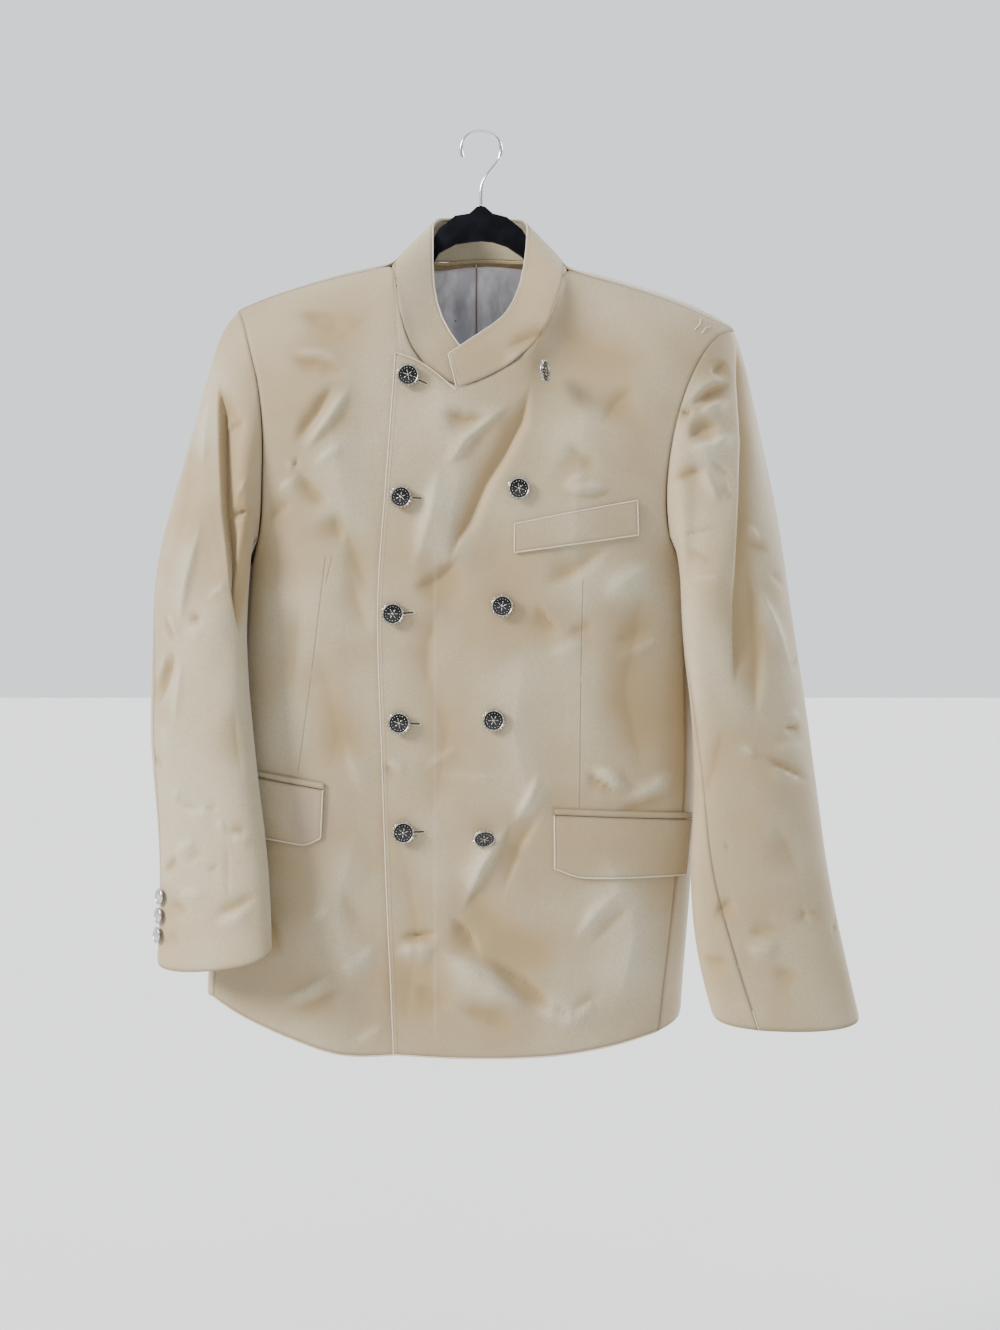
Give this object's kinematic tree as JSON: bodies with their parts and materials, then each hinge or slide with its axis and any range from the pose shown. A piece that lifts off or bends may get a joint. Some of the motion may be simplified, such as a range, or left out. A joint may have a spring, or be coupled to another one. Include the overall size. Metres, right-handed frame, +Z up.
{
  "type": "tunic jacket on a hanger",
  "caption": "Hip-length double-breasted tunic jacket with a stand collar, welt and flap pockets and metal buttons, hung on a slim velvet hanger.",
  "frame": {"origin": "inner top of the hook's bend, where it hangs on a rail", "axes": "+Z up, -Y the way the jacket's front faces, +X towards the wearer's left"},
  "size_m": [0.6505, 0.1603, 0.8567],
  "materials": {
    "cloth": "fine beige twill with a soft sheen",
    "satin": "silvery satin lining",
    "velvet": "black flocked velvet",
    "wire": "bright wire",
    "button": "nickel rim with black enamel"
  },
  "bodies": {
    "root": {"back_left": "cloth", "back_right": "cloth", "breast_welt": "cloth", "button_cuff_left_1": "button", "button_cuff_left_2": "button", "button_cuff_left_3": "button", "button_cuff_right_1": "button", "button_cuff_right_2": "button", "button_cuff_right_3": "button", "button_front_1": "button", "button_front_10": "button", "button_front_2": "button", "button_front_3": "button", "button_front_4": "button", "button_front_5": "button", "button_front_6": "button", "button_front_7": "button", "button_front_8": "button", "button_front_9": "button", "collar": "cloth", "flap_left": "cloth", "flap_right": "cloth", "front_left": "cloth", "front_right": "cloth", "hanger": "velvet", "hook": "wire", "jet_left": "cloth", "jet_right": "cloth", "lining_left": "satin", "lining_right": "satin", "side_left": "cloth", "side_right": "cloth", "topsleeve_left": "cloth", "topsleeve_right": "cloth", "undersleeve_left": "cloth", "undersleeve_right": "cloth"}
  },
  "joints": []
}
